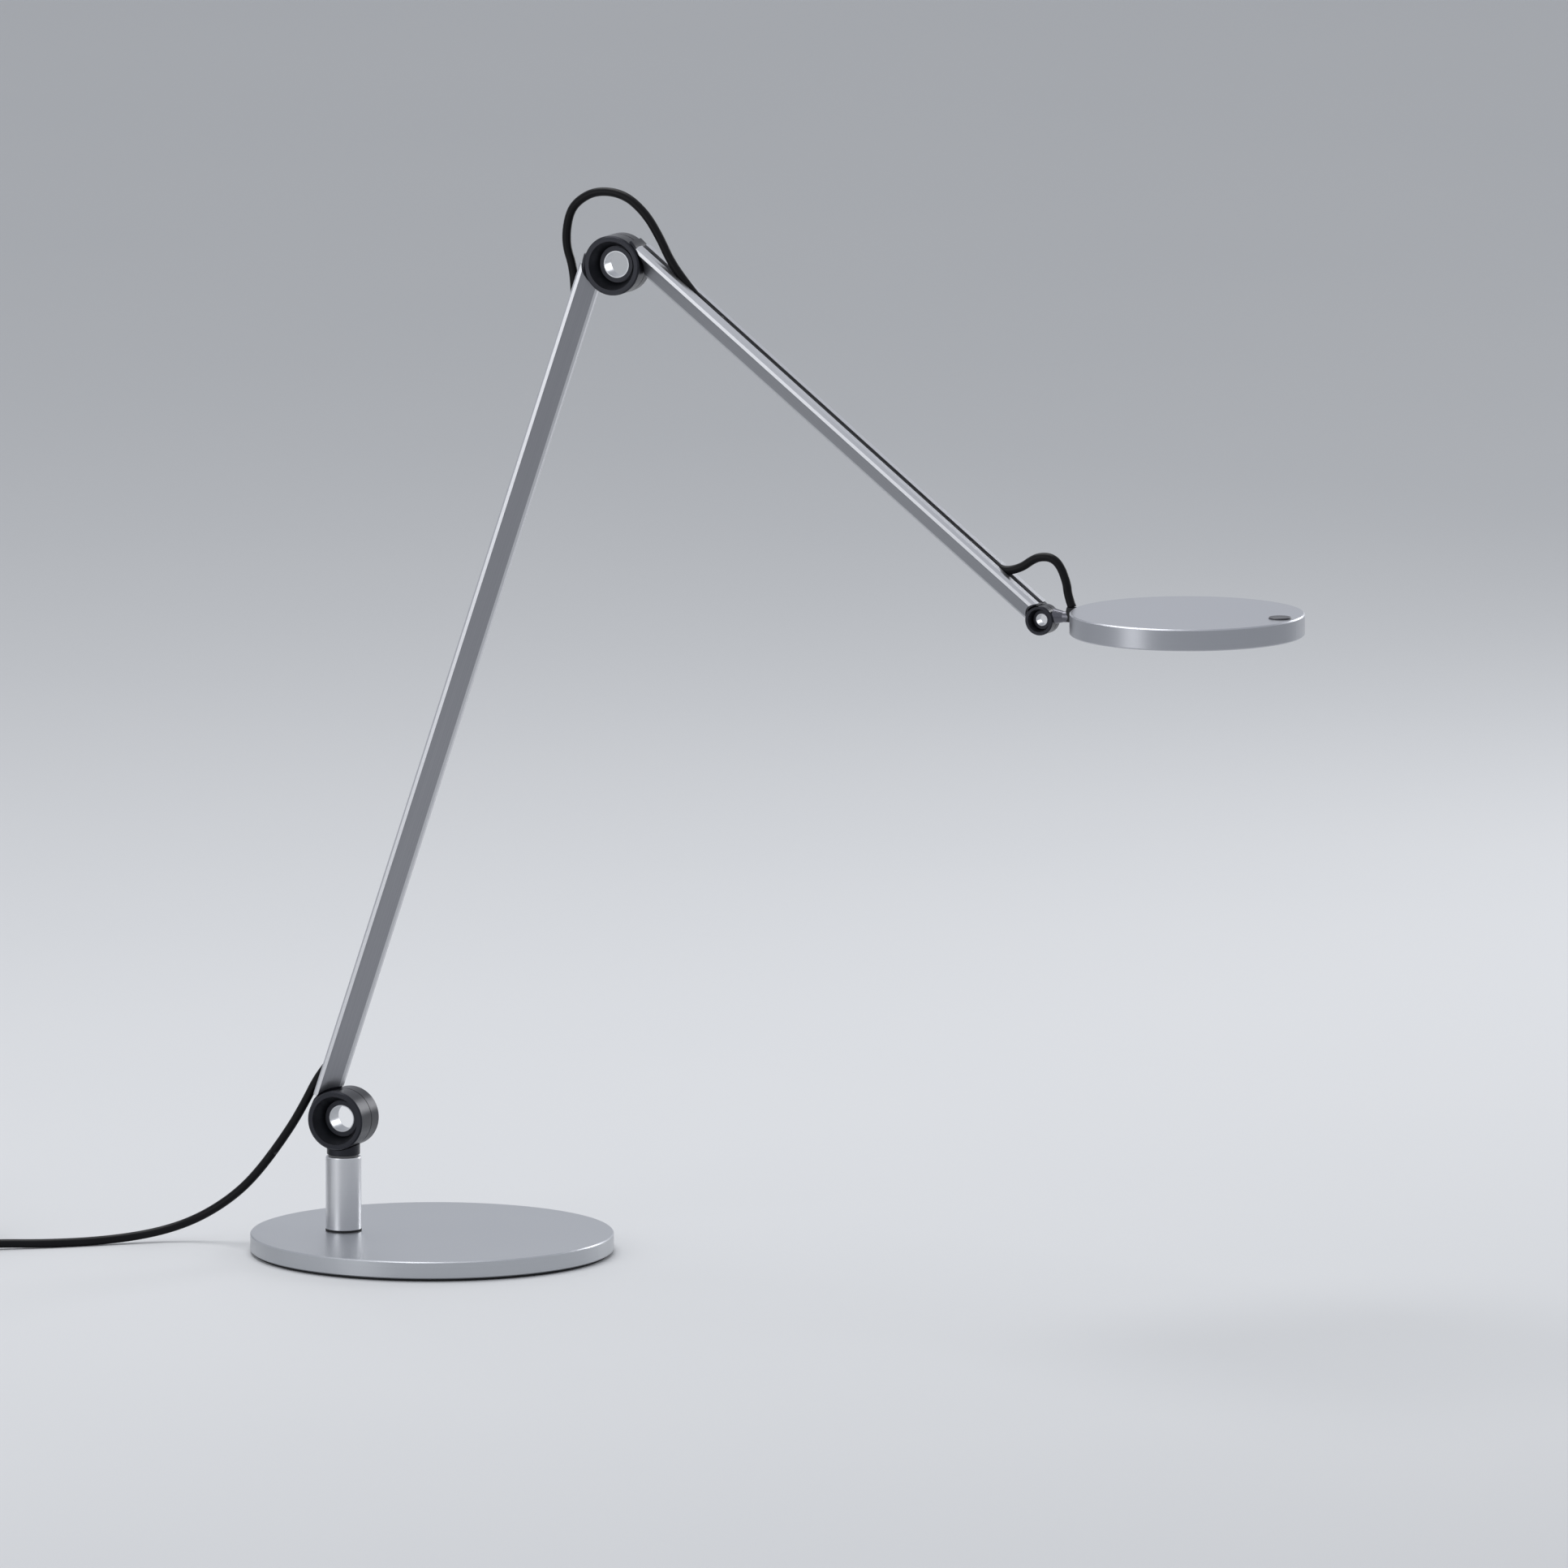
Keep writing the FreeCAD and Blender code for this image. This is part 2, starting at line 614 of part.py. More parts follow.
def shoe(name, ring, half, side, offset):
    """A ring half with the saddle and tongue that carry an arm.

    side is 1 where the arm leaves along +X of its own frame and -1 where it arrives.
    half is "front" or "rear"; the saddle clears the other half by the joint gap.
    """
    far = ring.saddle + tongue_length
    start = Size("0", 0) if side > 0 else -far
    saddle_bar = extruded(name + "SaddleBar", "YZ_Plane",
                          [arm_outline(offset, saddle_inset, slot=False)], far, start)
    shell = cylinder(name + "Shell", ring.saddle, arm_width + 20,
                     y=-arm_width / 2 - 10, along="Y")
    pad_piece = common(name + "Pad", saddle_bar, shell)
    tongue = extruded(name + "Tongue", "YZ_Plane", [core_outline(offset, 0.1)], far, start)
    wide = ring.rear - ring.front + 12
    eye = cylinder(name + "Eye", ring.radius - 1, wide, y=-wide / 2, along="Y")
    if half == "front":
        room = cylinder(name + "Room", ring.room, wide, y=ring.part_front, along="Y")
        ring_piece = ring.front_half(name + "Ring")
    else:
        room = cylinder(name + "Room", ring.room, wide, y=ring.part_rear - wide, along="Y")
        ring_piece = ring.rear_half(name + "Ring")
    carrier = cut(name + "Carrier", joined(name + "Stock", [pad_piece, tongue]),
                  joined(name + "Rooms", [eye, room]))
    return joined(name, [carrier, ring_piece])


keep(place(shoe("LowerFoot", shoulder, "front", 1, arm_offset),
           0, 0, shoulder_height, lower_lean_angle), "lower_arm_foot")
keep(arm("LowerArm", lower_length, lower_lean_angle, 0, shoulder_height, shoulder, elbow, 0,
         arm_start, elbow_trim), "lower_arm")
keep(arm_screws("LowerScrews", lower_length, lower_lean_angle, 0, shoulder_height, shoulder,
                elbow), "lower_arm_screws")
keep(place(shoe("LowerTop", elbow, "front", -1, arm_offset),
           elbow_x, 0, elbow_z, lower_lean_angle), "lower_arm_top")
keep(place(shoe("UpperFoot", elbow, "rear", 1, arm_offset),
           elbow_x, 0, elbow_z, upper_lean_angle), "upper_arm_foot")
keep(arm("UpperArm", upper_length, upper_lean_angle, elbow_x, elbow_z, elbow, tilt, upper_shift,
         elbow_trim, arm_end), "upper_arm")
keep(arm_screws("UpperScrews", upper_length, upper_lean_angle, elbow_x, elbow_z, elbow, tilt),
     "upper_arm_screws")
keep(place(shoe("UpperTip", tilt, "rear", -1, arm_offset - upper_shift),
           head_x, 0, head_z, upper_lean_angle), "upper_arm_tip")

# ---------------------------------------------------------------- head

head_bottom = -head_drop
head_top = head_thickness - head_drop
rim_inside = head_radius - head_rim_wall
ceiling = head_top - head_top_wall
button_place = rim_inside - button_radius - button_flange - button_margin

shell = turned("HeadShell", "XZ_Plane", [
    (0, ceiling), (rim_inside, ceiling), (rim_inside, head_bottom),
    (head_radius - head_edge, head_bottom), (head_radius, head_bottom + head_edge),
    (head_radius, head_top - head_edge), (head_radius - head_edge, head_top), (0, head_top)])
place(shell, head_reach, 0, 0)
bar_hole = cylinder("BarHole", bar_spigot + 0.02, 12, x=head_reach - head_radius - 2,
                    z=neck_bar_rise, along="X")
button_hole = cylinder("ButtonHole", button_radius + 0.15, head_top_wall + 2,
                       x=head_reach + button_place, z=ceiling - 1)
head_shell = cut("Head", shell, joined("HeadHoles", [bar_hole, button_hole]))
keep(place(head_shell, head_x, 0, head_z), "head_shell")

diffuser_low = head_bottom + diffuser_recess
diffuser = turned("Diffuser", "XZ_Plane", [
    (0, diffuser_low), (rim_inside - 0.1, diffuser_low),
    (rim_inside - 0.1, diffuser_low + diffuser_thickness),
    (0, diffuser_low + diffuser_thickness)])
keep(place(diffuser, head_x + head_reach, 0, head_z), "diffuser")

board = turned("Board", "XZ_Plane", [
    (0, ceiling - board_thickness), (board_radius, ceiling - board_thickness),
    (board_radius, ceiling), (0, ceiling)])
keep(place(board, head_x + head_reach, 0, head_z), "led_board")

chips = []
for ring_share, count in ((0.3, 6), (0.62, 12), (0.9, 18)):
    for k in range(count):
        turn = 2 * math.pi * k / count
        chips.append(block("Chip", chip_size, chip_size, chip_height,
                           board_radius * (ring_share * math.cos(turn)) - chip_size / 2,
                           board_radius * (ring_share * math.sin(turn)) - chip_size / 2,
                           ceiling - board_thickness - chip_height))
chip_set = doc.addObject("Part::Compound", "Chips")
chip_set.Links = chips
keep(place(chip_set, head_x + head_reach, 0, head_z), "leds")

# The neck of the head: the front half of the joint, and a turned bar into the head.
keep(place(tilt.front_half("TiltFront"), head_x, 0, head_z), "head_joint_ring")

rim_reach = head_reach - head_radius
flare = doc.addObject("Part::Cone", "Flare")
flare.Placement.Rotation = FreeCAD.Rotation(V(0, 1, 0), 90)
for path, size in (("Radius1", flare_radius), ("Radius2", neck_bar_radius),
                   ("Height", flare_length), ("Placement.Base.x", tilt.radius - 1),
                   ("Placement.Base.z", neck_bar_rise)):
    bind(flare, path, size)
bar_stock = joined("BarStock", [
    flare,
    cylinder("NeckBar", neck_bar_radius, rim_reach - tilt.radius + 3, x=tilt.radius - 3,
             z=neck_bar_rise, along="X"),
    cylinder("BarSpigot", bar_spigot, head_rim_wall + anchor_length + 2, x=rim_reach - 2,
             z=neck_bar_rise, along="X")])
bar_seat = cylinder("BarSeat", tilt.radius, tilt_depth + 4, y=-tilt_depth / 2 - 2, along="Y")
bar_room = cylinder("BarRoom", tilt.room, tilt_depth, y=tilt.part_front, along="Y")
neck_bar = cut("NeckBarCut", bar_stock, joined("BarTools", [bar_seat, bar_room]))
keep(place(neck_bar, head_x, 0, head_z), "neck_bar")

anchor_start = rim_reach + head_rim_wall + 0.4
anchor_low = neck_bar_rise - bar_spigot - anchor_wall
anchor_box = block("AnchorBox", anchor_length - 0.8, anchor_width, ceiling - anchor_low,
                   anchor_start, -anchor_width / 2, anchor_low)
anchor_bore = cylinder("AnchorBore", bar_spigot, anchor_length + 2,
                       x=anchor_start - 1, z=neck_bar_rise, along="X")
keep(place(cut("Anchor", anchor_box, anchor_bore), head_x, 0, head_z), "neck_anchor")

grommet = turned("Grommet", "XZ_Plane", [
    (0, 0), (grommet_radius, 0), (grommet_radius, grommet_shoulder),
    (cable_diameter / 2 + 0.5, grommet_top), (0, grommet_top)])
place(grommet, grommet_place, 0, 0)
grommet_bore = cylinder("GrommetBore", neck_bar_radius, 12, x=grommet_place - 6,
                        z=neck_bar_rise, along="X")
keep(place(cut("CableEntry", grommet, grommet_bore), head_x, 0, head_z), "cable_entry")

cap_bottom = ceiling - 1.4
button = turned("Button", "XZ_Plane", [
    (0, cap_bottom), (button_radius + button_flange, cap_bottom),
    (button_radius + button_flange, ceiling - 0.4),
    (button_radius, ceiling - 0.4), (button_radius, head_top + button_proud - 0.4),
    (button_radius - 0.4, head_top + button_proud), (0, head_top + button_proud - 0.25)])
keep(place(button, head_x + head_reach + button_place, 0, head_z), "button")

switch_top = cap_bottom - button_travel - button_rest
bracket_top = switch_top - switch_height
leg = button_radius + 1.6
bracket = extruded("Bracket", "YZ_Plane", [[
    (-leg - bracket_thickness, ceiling), (-leg, ceiling), (-leg, bracket_top),
    (leg, bracket_top), (leg, ceiling), (leg + bracket_thickness, ceiling),
    (leg + bracket_thickness, bracket_top - bracket_thickness),
    (-leg - bracket_thickness, bracket_top - bracket_thickness)]],
    bracket_width, start=-bracket_width / 2)
keep(place(bracket, head_x + head_reach + button_place, 0, head_z), "switch_bracket")

switch = block("Switch", switch_size, switch_size, switch_height, -switch_size / 2,
               -switch_size / 2, bracket_top)
plunger = cylinder("Plunger", 1.3, plunger_stand, z=switch_top)
keep(place(joined("ButtonSwitch", [switch, plunger]),
           head_x + head_reach + button_place, 0, head_z), "button_switch")

# ---------------------------------------------------------------- cables


def bend(start, corner, end):
    """The arc that leaves start and reaches end along the two sides of a corner."""
    side = corner.distanceToPoint(start)
    weight = start.distanceToPoint(end) / (2 * side)
    middle = (start + corner * (2 * weight) + end) * (1 / (2 + 2 * weight))
    return Part.Arc(start, middle, end).toShape()


def cord_path(points):
    """Straight runs joined by arcs as large as the runs allow; gives edges and radii."""
    edges, radii, last = [], [], points[0]
    for before, corner, after in zip(points, points[1:], points[2:]):
        into, out = corner - before, after - corner
        reach = 0.45 * min(into.Length, out.Length)
        turn = into.getAngle(out)
        start = corner - into * (reach / into.Length)
        end = corner + out * (reach / out.Length)
        if last.distanceToPoint(start) > 0.01:
            edges.append(Part.LineSegment(last, start).toShape())
        edges.append(bend(start, corner, end))
        radii.append(reach / math.tan(turn / 2))
        last = end
    edges.append(Part.LineSegment(last, points[-1]).toShape())
    return edges, radii


def tube(label, edges, radii):
    """A round cable along its path, as one solid, checked against section times length."""
    path = Part.Wire(edges)
    start = edges[0].valueAt(edges[0].FirstParameter)
    along = edges[0].tangentAt(edges[0].FirstParameter)
    ring = Part.Wire([Part.Circle(start, along, cable_diameter.value / 2).toShape()])
    solid = path.makePipeShell([ring], True, False)
    feature = doc.addObject("Part::Feature", label)
    feature.Shape = solid
    expected = math.pi * cable_diameter.value ** 2 / 4 * path.Length
    print(f"{label}: length {path.Length:.1f} mm, least radius {min(radii):.1f} mm,"
          f" volume {solid.Volume / expected:.4f} of section times length")
    print("  radii " + " ".join(f"{radius:.0f}" for radius in radii))
    return keep(feature, label)


# Held cable: one straight stretch in the slot of each arm.
held_height = arm_offset + arm_crown - slot_depth + cable_diameter / 2 + cable_ride


def held_cable(label, start, end, lean, x, z):
    stretch = cylinder(label + "_stretch", cable_diameter / 2, end - start, x=start,
                       z=held_height, along="X")
    holder = doc.addObject("Part::Compound", label)
    holder.Links = [stretch]
    return keep(place(holder, x, 0, z, lean), label)


held_cable("lower_arm_cable", slot_hold_shoulder, lower_length - slot_hold_elbow,
           lower_lean_angle, 0, shoulder_height)
held_cable("upper_arm_cable", slot_hold_upper, upper_length - slot_hold_head,
           upper_lean_angle, elbow_x, elbow_z)


def in_slot(x, z, lean, along):
    """The middle of the held cable, so far along an arm, in the lamp's frame."""
    turn = math.radians(number(lean))
    out = number(held_height)
    return (number(x) + number(along) * math.cos(turn) - out * math.sin(turn), 0,
            number(z) + number(along) * math.sin(turn) + out * math.cos(turn))


def beside(x, z, points):
    """Points given from a joint's axis, in the lamp's frame."""
    return [(number(x) + dx, 0, number(z) + dz) for dx, dz in points]


def cord(label, points):
    edges, radii = cord_path([V(*p) for p in points])
    return tube(label, edges, radii)


# The loop round the elbow, and the arch over the head joint.
cord("elbow_loop",
     [in_slot(0, shoulder_height, lower_lean_angle, lower_length - slot_hold_elbow),
      in_slot(0, shoulder_height, lower_lean_angle, lower_length - slot_hold_elbow + 14.4)]
     + beside(elbow_x, elbow_z, [
         (-24.8, -0.4), (-32.1, 11.1), (-28.8, 25.8), (-24.2, 33.0), (-12.4, 39.8),
         (3.9, 38.7), (16.6, 28.9), (25.2, 16.0), (31.9, 2.6), (41.0, -8.8)])
     + [in_slot(elbow_x, elbow_z, upper_lean_angle, slot_hold_upper - 14),
        in_slot(elbow_x, elbow_z, upper_lean_angle, slot_hold_upper)])

cord("head_arch",
     [in_slot(elbow_x, elbow_z, upper_lean_angle, upper_length - slot_hold_head),
      in_slot(elbow_x, elbow_z, upper_lean_angle, upper_length - slot_hold_head + 8)]
     + beside(head_x, head_z, [
         (-26.8, 26.4), (-20.0, 25.4), (-12.1, 27.8), (-5.6, 33.1), (1.2, 34.5), (7.7, 32.5),
         (12.3, 27.6), (14.6, 20.4), (number(grommet_place), number(grommet_top) + 6),
         (number(grommet_place), number(grommet_top))]))

# The lead leaves the foot of the lower arm and hangs back from it; below the swivel it
# comes down to the table and runs on to the left, where the rest of it is stored.
riser_route = (
    [in_slot(0, shoulder_height, lower_lean_angle, slot_hold_shoulder),
     in_slot(0, shoulder_height, lower_lean_angle, slot_hold_shoulder - 15)]
    + beside(0, shoulder_height, [
        (-15.4, 21.8), (-22.8, 7.7), (-32.8, -8.9), (-42.65, -21.95)]))
cord("lead_riser", riser_route)

lead_route = [
    (-42.65, 0, 51.55), (-52.5, 0, 38.5), (-68.4, -1.6, 23.6), (-87.7, -6.0, 11.4),
    (-106.2, -18.0, 4.9), (-127.6, -38.6, 2.4), (-152.5, -60.0, 2.4), (-176.6, -75.6, 3.4),
    (-197.6, -94.2, 3.4)]
cord("lead", lead_route)


class StoredLead:
    """A neat round coil, wound in and out in layers from the end of the lead."""

    def __init__(self, before, start):
        self.start = V(*start)
        self.heading = (self.start - V(*before)).normalize()
        side = V(self.heading.y, -self.heading.x, 0)
        self.outer = number(coil_radius)
        self.straight = number(cable_diameter)
        self.pitch = number(coil_pitch)
        self.leg = 2 * math.pi * number(coil_turns) / number(coil_layers)
        self.centre = self.start + self.heading * self.straight + side * self.outer
        self.first = math.atan2(-side.y, -side.x)
        self.turned = self.leg * number(coil_layers)

    def point(self, turned):
        """Where the middle of the cable is, after so much turning."""
        layer = turned / self.leg
        fold = abs((layer + 1) % 2 - 1)
        radius = self.outer - self.pitch * self.leg * fold / (2 * math.pi)
        height = 0.0
        for border in range(1, int(number(coil_layers))):
            share = (turned - border * self.leg) / math.pi + 0.5
            share = min(max(share, 0.0), 1.0)
            height += self.pitch * share * share * (3 - 2 * share)
        angle = self.first - turned
        return self.centre + V(radius * math.cos(angle), radius * math.sin(angle), height)

    def direction(self, turned):
        """The cable's direction there; its two ends run square to their circle."""
        if turned <= 0 or turned >= self.turned:
            angle = self.first - min(max(turned, 0.0), self.turned)
            return V(math.sin(angle), -math.cos(angle), 0)
        near = 0.001
        return (self.point(turned + near) - self.point(turned - near)).normalize()

    def edges(self):
        """A straight end, two arcs for each quarter turn, and a straight end."""
        steps = round(self.turned / (math.pi / 2))
        marks = [self.turned * k / steps for k in range(steps + 1)]
        result = [Part.LineSegment(self.start, self.point(0)).toShape()]
        for a, b in zip(marks, marks[1:]):
            result += biarc(self.point(a), self.direction(a), self.point(b), self.direction(b))
        self.end = self.point(self.turned) + self.direction(self.turned) * self.straight
        result.append(Part.LineSegment(self.point(self.turned), self.end).toShape())
        return result

    def least_gap(self):
        """The least clear space between two turns, over points a twelfth of a turn apart."""
        count = int(self.turned / (math.pi / 36))
        points = [self.point(self.turned * k / count) for k in range(count + 1)]
        apart = int(count * math.pi / self.turned)
        least = min((points[j] - points[i]).Length
                    for i in range(count + 1) for j in range(i + apart, count + 1))
        return least - number(cable_diameter)


def biarc(start, leaving, end, arriving):
    """Two arcs that join two points and meet both directions there."""
    across = end - start
    both = leaving + arriving
    spread = 2 * (1 - leaving.dot(arriving))
    reach = across.dot(both)
    root = math.sqrt(reach * reach + spread * across.dot(across))
    side = (root - reach) / spread
    first, second = start + leaving * side, end - arriving * side
    middle = (first + second) * 0.5
    return [bend(start, first, middle), bend(middle, second, end)]


store = StoredLead(lead_route[-2], lead_route[-1])
coil_edges = store.edges()
tube("lead_coil", coil_edges, [e.Curve.Radius for e in coil_edges if hasattr(e.Curve, "Radius")])
print(f"lead_coil: least gap between turns {store.least_gap():.2f} mm")

# The tie: a strap round the whole bundle, on the side away from the lead.
tie_angle = store.first + math.radians(150)
tie_frame = FreeCAD.Rotation(V(0, 0, 1), math.degrees(tie_angle))
inner_turn = store.outer - store.pitch * store.leg / (2 * math.pi)
strap = number(tie_thickness)
tie_in = inner_turn - number(cable_diameter) / 2 - number(tie_room)
tie_out = store.outer + number(cable_diameter) / 2 + number(tie_room)
tie_top = store.start.z + 3 * store.pitch + number(cable_diameter) / 2 + 0.6
tie_height = tie_top - number(coil_lift) + 0.1
outside = Part.makeBox(tie_out - tie_in + 2 * strap, number(tie_width), tie_height + 2 * strap,
                       V(tie_in - strap, -number(tie_width) / 2, 0.05))
inside = Part.makeBox(tie_out - tie_in, number(tie_width) + 2, tie_height,
                      V(tie_in, -number(tie_width) / 2 - 1, 0.05 + strap))
tie = doc.addObject("Part::Feature", "Tie")
tie.Shape = outside.cut(inside)
tie.Placement = FreeCAD.Placement(V(store.centre.x, store.centre.y, 0), tie_frame)
keep(tie, "lead_tie")

# The tail from the coil's last turn down to the power supply, in the coil's heading.
leave = store.direction(store.turned)
tail_route = [store.end + leave * along + V(0, 0, drop)
              for along, drop in ((0, 0), (12, 0), (25, -2.6), (37, -4.2), (49, -4.2))]
cord("lead_tail", [tuple(p) for p in tail_route])

# ---------------------------------------------------------------- power supply

supply_turn = FreeCAD.Rotation(V(0, 0, 1), math.degrees(math.atan2(leave.y, leave.x)))
supply_at = tail_route[-1]


def set_down(feature, label):
    """Puts a piece of the power supply on the table, in line with the lead's tail."""
    feature.Placement = FreeCAD.Placement(supply_at, supply_turn)
    return keep(feature, label)


relief_tip = cable_diameter / 2 + relief_wall
relief_outline = [(0, 0), (0, relief_tip)]
groove_step = relief_length / (int(number(relief_grooves)) + 1)
for k in range(1, int(number(relief_grooves)) + 1):
    middle = groove_step * k
    skin = relief_tip + (relief_radius - relief_tip) * (middle / relief_length.value)
    relief_outline += [
        (middle - groove_width / 2, skin), (middle - groove_width / 2, skin - groove_depth),
        (middle + groove_width / 2, skin - groove_depth), (middle + groove_width / 2, skin)]
relief_outline += [(relief_length, relief_radius), (relief_length + relief_seat, relief_radius),
                   (relief_length + relief_seat, 0)]
relief = doc.addObject("PartDesign::Body", "Relief")
relief_drawing = profile(relief, "XY_Plane", [relief_outline])
relief_turn = relief.newObject("PartDesign::Revolution", "Turn")
relief_turn.Profile = relief_drawing
relief_turn.ReferenceAxis = (relief_drawing, ["H_Axis"])
relief_turn.Angle = 360
relief.Tip = relief_turn
set_down(relief, "strain_relief")

floor_level = -supply_at.z
case = doc.addObject("PartDesign::Body", "Case")
case_start = relief_length + relief_seat - 1
case_drawing = profile(case, "XZ_Plane", [[
    (case_start, floor_level), (case_start + supply_length, floor_level),
    (case_start + supply_length, floor_level + supply_height),
    (case_start + supply_corner, floor_level + supply_height),
    (case_start, floor_level + supply_height - supply_corner)]],
    start=-supply_width / 2)
case_pad = case.newObject("PartDesign::Pad", "Width")
case_pad.Profile = case_drawing
case_pad.Length = number(supply_width)
bind(case_pad, "Length", supply_width)
case.Tip = case_pad
doc.recompute()
rounded = doc.addObject("Part::Fillet", "CaseRounded")
rounded.Base = case
upright = [i + 1 for i, e in enumerate(case.Shape.Edges)
           if len(e.Vertexes) == 2 and abs(e.tangentAt(e.FirstParameter).y) > 0.99
           and e.CenterOfMass.z > number(floor_level) + 1]
rounded.Edges = [(i, number(supply_edge), number(supply_edge)) for i in upright]
relief_hole = cylinder("ReliefHole", relief_radius, relief_seat, x=relief_length, along="X")
set_down(cut("PowerSupply", rounded, relief_hole), "power_supply")

pins = []
for side in (-1, 1):
    pin = cylinder("Pin", pin_radius, pin_length, x=case_start + supply_length,
                   y=pin_spacing * (side / 2), along="X")
    pins.append(pin)
set_down(joined("PlugPins", pins), "plug_pins")

# ---------------------------------------------------------------- checks and files

doc.recompute()
for thing in doc.Objects:
    if "Invalid" in thing.State or "Error" in thing.State:
        raise RuntimeError(f"{thing.Label} failed to build: {thing.State}")
for part in sub_parts:
    if part.Shape.isNull() or not part.Shape.isValid():
        raise RuntimeError(f"{part.Label} has no valid shape")
    if len(part.Shape.Solids) < 1 or part.Shape.Volume <= 0:
        raise RuntimeError(f"{part.Label} holds no solid")
os.makedirs("parts", exist_ok=True)
for part in sub_parts:
    part.Shape.exportStep(f"parts/{part.Label}.step")
    box = part.Shape.BoundBox
    print(f"{part.Label}: {len(part.Shape.Solids)} solid(s), volume {part.Shape.Volume:.0f},"
          f" x {box.XMin:.1f}..{box.XMax:.1f}, y {box.YMin:.1f}..{box.YMax:.1f},"
          f" z {box.ZMin:.1f}..{box.ZMax:.1f}")
print(f"{len(sub_parts)} sub-parts")
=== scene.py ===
import math

import bmesh
import bpy
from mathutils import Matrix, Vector


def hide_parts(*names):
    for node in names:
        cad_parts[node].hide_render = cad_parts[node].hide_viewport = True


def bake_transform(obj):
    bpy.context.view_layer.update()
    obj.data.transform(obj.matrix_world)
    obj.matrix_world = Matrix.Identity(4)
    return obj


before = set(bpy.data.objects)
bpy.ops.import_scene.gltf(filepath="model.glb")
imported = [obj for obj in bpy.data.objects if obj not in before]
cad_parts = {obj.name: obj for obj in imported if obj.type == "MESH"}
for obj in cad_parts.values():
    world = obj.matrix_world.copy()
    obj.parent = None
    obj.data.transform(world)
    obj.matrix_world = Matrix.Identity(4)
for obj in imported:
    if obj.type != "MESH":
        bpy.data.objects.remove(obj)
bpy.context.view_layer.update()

# ------------------------------------------------------------ floor, light, camera
# The table is a plain pale sheet under plain soft light: a large overhead box, a tall
# strip at the front left and a low box behind on the right. The lens is long and looks
# down a little, so the discs show as narrow ovals.


class Amount:
    """A number or colour inside a material or the room, which can be used in sums."""

    def __init__(self, sheet, socket):
        self.sheet = sheet
        self.socket = socket

    def math(self, operation, *values):
        return self.sheet.node("Math", {"operation": operation}, dict(enumerate(values)))

    def __add__(self, other):
        return self.math("ADD", self, other)

    __radd__ = __add__

    def __sub__(self, other):
        return self.math("SUBTRACT", self, other)

    def __rsub__(self, other):
        return self.math("SUBTRACT", other, self)

    def __mul__(self, other):
        return self.math("MULTIPLY", self, other)

    __rmul__ = __mul__

    def __pow__(self, other):
        return self.math("POWER", self, other)

    def __abs__(self):
        return self.math("ABSOLUTE", self)

    def __lt__(self, other):
        return self.math("LESS_THAN", self, other)


class Sheet:
    """The nodes of one material, or of the room."""

    def __init__(self, tree):
        self.tree = tree

    def node(self, kind, settings=None, values=None, output=0):
        """Makes a node: its settings first, then the values or links of its sockets."""
        made = self.tree.nodes.new("ShaderNode" + kind)
        for setting, value in (settings or {}).items():
            setattr(made, setting, value)
        for socket, value in (values or {}).items():
            self.feed(made.inputs[socket], value)
        return Amount(self, made.outputs[output])

    def feed(self, socket, value):
        if isinstance(value, Amount):
            self.tree.links.new(value.socket, socket)
        else:
            socket.default_value = value


class Finish(Sheet):
    """One material: a Principled shader and the nodes that vary it over the surface."""

    def __init__(self, name, **constants):
        self.material = bpy.data.materials.new(name)
        self.material.use_nodes = True
        super().__init__(self.material.node_tree)
        self.shader = self.tree.nodes["Principled BSDF"]
        for socket, value in constants.items():
            self.shader.inputs[socket.replace("_", " ")].default_value = value

    def vary(self, **values):
        """Links what changes over the surface to the shader."""
        for socket, value in values.items():
            self.feed(self.shader.inputs[socket.replace("_", " ")], value)

    def place(self):
        """Metres in the lamp's own frame, as three numbers."""
        spot = self.node("TexCoord", output="Object")
        return [self.node("SeparateXYZ", values={0: spot}, output=i) for i in range(3)]

    def noise(self, x, y, z, scale=1.0, detail=2.0):
        """A cloudy number round one half, at a spot that may be stretched."""
        spot = self.node("CombineXYZ", values={0: x, 1: y, 2: z})
        return self.node("TexNoise", values={"Vector": spot, "Scale": scale,
                                             "Detail": detail})

    def tint(self, share, dark, light):
        """A colour between two."""
        return self.node("Mix", {"data_type": "RGBA"}, {0: share, 6: dark, 7: light}, 2)

    def bump(self, height, depth):
        """A surface normal from a height between 0 and 1, and its depth in metres."""
        return self.node("Bump", values={"Height": height, "Distance": depth,
                                         "Strength": 1.0})


floor_finish = Finish("pale_table", Roughness=0.65)
fx, fy, fz = floor_finish.place()
floor_cloud = floor_finish.noise(fx, fy, fz, 1.5)
floor_finish.vary(Base_Color=floor_finish.tint(floor_cloud, (0.60, 0.61, 0.63, 1),
                                               (0.63, 0.635, 0.65, 1)))
floor_mesh = bpy.data.meshes.new("table")
reach = 12
floor_mesh.from_pydata([(-reach, -reach, 0), (reach, -reach, 0), (reach, reach, 0),
                        (-reach, reach, 0)], [], [(0, 1, 2, 3)])
floor = bpy.data.objects.new("table", floor_mesh)
bpy.context.scene.collection.objects.link(floor)
floor_mesh.materials.append(floor_finish.material)

